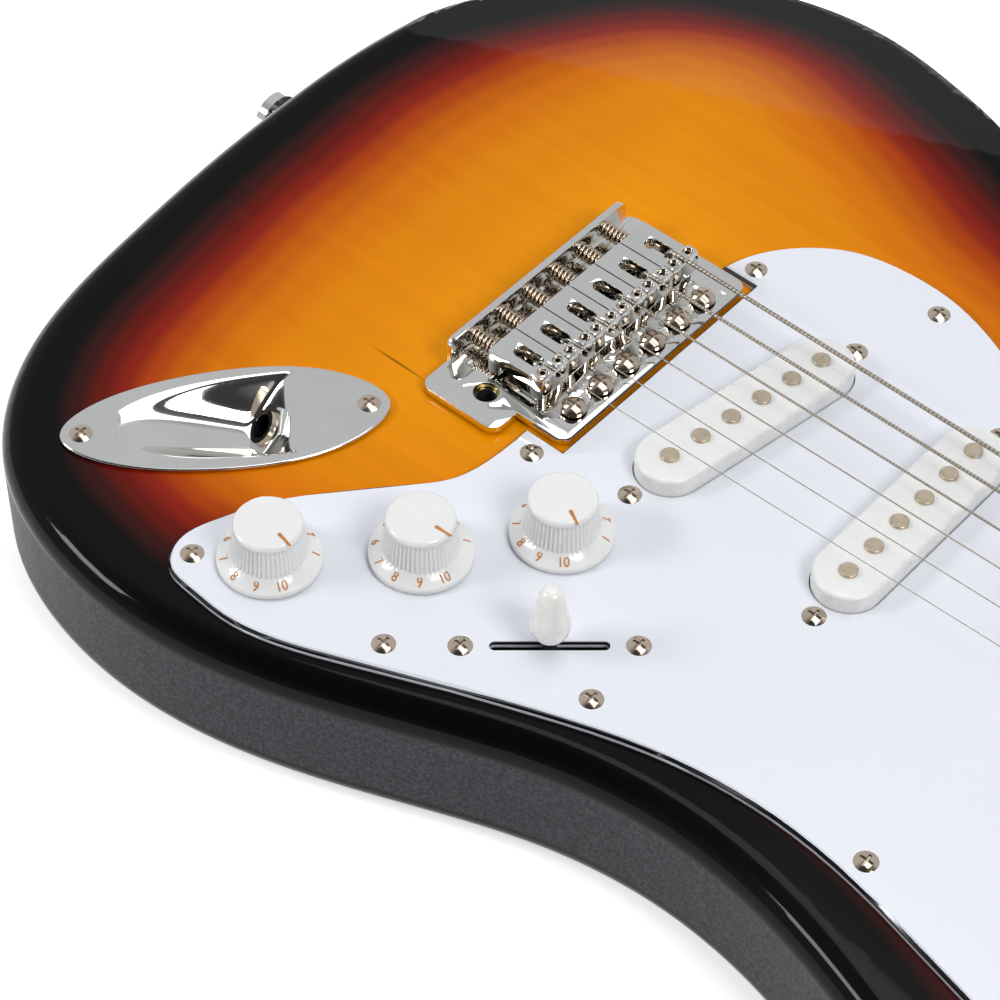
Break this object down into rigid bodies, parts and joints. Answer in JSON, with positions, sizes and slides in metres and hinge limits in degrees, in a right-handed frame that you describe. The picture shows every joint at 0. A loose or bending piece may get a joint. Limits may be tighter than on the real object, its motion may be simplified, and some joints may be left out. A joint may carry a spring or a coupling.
{
  "type": "electric guitar",
  "caption": "Solid-body electric guitar with a bolt-on neck, white pickguard, single-coil pickups, control knobs, selector switch and a vibrato bridge.",
  "frame": {"origin": "centre of the bottom of the bounding box, with the guitar lying on its back", "axes": "+X from the tail to the headstock along the strings, +Y to the bass side, +Z out of the body's face"},
  "size_m": [0.9808, 0.3078, 0.0697],
  "materials": {
    "black_plastic": "satin",
    "body_lacquer": "gloss sunburst lacquer, dark at the edge",
    "brass": "bare",
    "chrome": "mirror polish",
    "cloth_wire": "insulated",
    "copper_coil": "wound wire",
    "magnet": "brushed",
    "maple": "satin lacquer",
    "nickel": "polished nickel",
    "nickel_silver": "polished",
    "rosewood": "oiled",
    "steel": "plain steel",
    "white_plastic": "gloss",
    "zinc": "cast"
  },
  "bodies": {
    "guitar": {"body": "body_lacquer", "neck": "maple", "fretboard": "rosewood", "frets": "nickel_silver", "position_dots": "white_plastic", "nut": "white_plastic", "truss_rod": "steel", "neck_plate": "chrome", "neck_plate_screws": "chrome", "strap_buttons": "chrome", "pickguard": "white_plastic", "plate_screws": "nickel", "pickup_covers": "white_plastic", "pickup_coils": "copper_coil", "pole_magnets": "magnet", "machine_screws": "nickel", "pickup_springs": "steel", "potentiometers": "steel", "control_nuts": "nickel", "switch_frame": "steel", "tone_capacitor": "black_plastic", "wiring": "cloth_wire", "jack_plate": "chrome", "output_jack": "nickel", "spring_claw": "steel", "claw_screws": "steel", "tremolo_springs": "steel", "back_cover": "white_plastic", "pivot_screws": "nickel", "strings": "nickel_silver", "string_trees": "chrome", "headstock_screws": "nickel", "tuner_housings": "chrome", "tuner_bushings": "chrome"},
    "volume_control": {"volume_knob": "white_plastic", "volume_shaft": "steel"},
    "tone_1_control": {"tone_1_knob": "white_plastic", "tone_1_shaft": "steel"},
    "tone_2_control": {"tone_2_knob": "white_plastic", "tone_2_shaft": "steel"},
    "vibrato": {"bridge_plate": "chrome", "tremolo_block": "zinc", "saddles": "chrome", "bridge_screws": "nickel", "intonation_springs": "nickel", "ball_ends": "brass"},
    "selector": {"switch_lever": "steel", "switch_tip": "white_plastic"},
    "peg_1": {"tuner_post_1": "chrome"},
    "key_1": {"tuner_button_1": "chrome"},
    "peg_2": {"tuner_post_2": "chrome"},
    "key_2": {"tuner_button_2": "chrome"},
    "peg_3": {"tuner_post_3": "chrome"},
    "key_3": {"tuner_button_3": "chrome"},
    "peg_4": {"tuner_post_4": "chrome"},
    "key_4": {"tuner_button_4": "chrome"},
    "peg_5": {"tuner_post_5": "chrome"},
    "key_5": {"tuner_button_5": "chrome"},
    "peg_6": {"tuner_post_6": "chrome"},
    "key_6": {"tuner_button_6": "chrome"}
  },
  "joints": [
    {"name": "volume_turn", "type": "hinge", "parent": "guitar", "child": "volume_control", "pos_m": [-0.31243, -0.06838, 0.04737], "axis": [0, 0, 1], "range_deg": [-180, 120]},
    {"name": "tone_1_turn", "type": "hinge", "parent": "guitar", "child": "tone_1_control", "pos_m": [-0.33393, -0.09608, 0.04737], "axis": [0, 0, 1], "range_deg": [-180, 120]},
    {"name": "tone_2_turn", "type": "hinge", "parent": "guitar", "child": "tone_2_control", "pos_m": [-0.36043, -0.12168, 0.04737], "axis": [0, 0, 1], "range_deg": [-180, 120]},
    {"name": "vibrato_tilt", "type": "hinge", "parent": "guitar", "child": "vibrato", "pos_m": [-0.33673, -0.00868, 0.04607], "axis": [0, 1, 0], "range_deg": [-1.2, 7], "stiffness_Nm_per_rad": 20, "deforming": ["tremolo_springs", "strings"]},
    {"name": "selector_swing", "type": "hinge", "parent": "guitar", "child": "selector", "pos_m": [-0.29208, -0.09683, 0.02507], "axis": [-0.6636, 0.7481, 0], "range_deg": [-22, 22]},
    {"name": "key_1_turn", "type": "hinge", "parent": "guitar", "child": "key_1", "pos_m": [0.34277, 0.01154, 0.02657], "axis": [0.2732, 0.962, 0], "continuous": true},
    {"name": "peg_1_turn", "type": "hinge", "parent": "guitar", "child": "peg_1", "pos_m": [0.33777, 0.01297, 0.03187], "axis": [0, 0, 1], "continuous": true},
    {"name": "key_2_turn", "type": "hinge", "parent": "guitar", "child": "key_2", "pos_m": [0.36777, 0.00444, 0.02657], "axis": [0.2732, 0.962, 0], "continuous": true},
    {"name": "peg_2_turn", "type": "hinge", "parent": "guitar", "child": "peg_2", "pos_m": [0.36277, 0.00587, 0.03187], "axis": [0, 0, 1], "continuous": true},
    {"name": "key_3_turn", "type": "hinge", "parent": "guitar", "child": "key_3", "pos_m": [0.39277, -0.00266, 0.02657], "axis": [0.2732, 0.962, 0], "continuous": true},
    {"name": "peg_3_turn", "type": "hinge", "parent": "guitar", "child": "peg_3", "pos_m": [0.38777, -0.00123, 0.03187], "axis": [0, 0, 1], "continuous": true},
    {"name": "key_4_turn", "type": "hinge", "parent": "guitar", "child": "key_4", "pos_m": [0.41777, -0.00976, 0.02657], "axis": [0.2732, 0.962, 0], "continuous": true},
    {"name": "peg_4_turn", "type": "hinge", "parent": "guitar", "child": "peg_4", "pos_m": [0.41277, -0.00833, 0.03187], "axis": [0, 0, 1], "continuous": true},
    {"name": "key_5_turn", "type": "hinge", "parent": "guitar", "child": "key_5", "pos_m": [0.44277, -0.01686, 0.02657], "axis": [0.2732, 0.962, 0], "continuous": true},
    {"name": "peg_5_turn", "type": "hinge", "parent": "guitar", "child": "peg_5", "pos_m": [0.43777, -0.01543, 0.03187], "axis": [0, 0, 1], "continuous": true},
    {"name": "key_6_turn", "type": "hinge", "parent": "guitar", "child": "key_6", "pos_m": [0.46777, -0.02396, 0.02657], "axis": [0.2732, 0.962, 0], "continuous": true},
    {"name": "peg_6_turn", "type": "hinge", "parent": "guitar", "child": "peg_6", "pos_m": [0.46277, -0.02253, 0.03187], "axis": [0, 0, 1], "continuous": true}
  ],
  "couplings": [
    {"joint": "peg_1_turn", "follows": "key_1_turn", "ratio": -0.071429},
    {"joint": "peg_2_turn", "follows": "key_2_turn", "ratio": -0.071429},
    {"joint": "peg_3_turn", "follows": "key_3_turn", "ratio": -0.071429},
    {"joint": "peg_4_turn", "follows": "key_4_turn", "ratio": -0.071429},
    {"joint": "peg_5_turn", "follows": "key_5_turn", "ratio": -0.071429},
    {"joint": "peg_6_turn", "follows": "key_6_turn", "ratio": -0.071429}
  ]
}
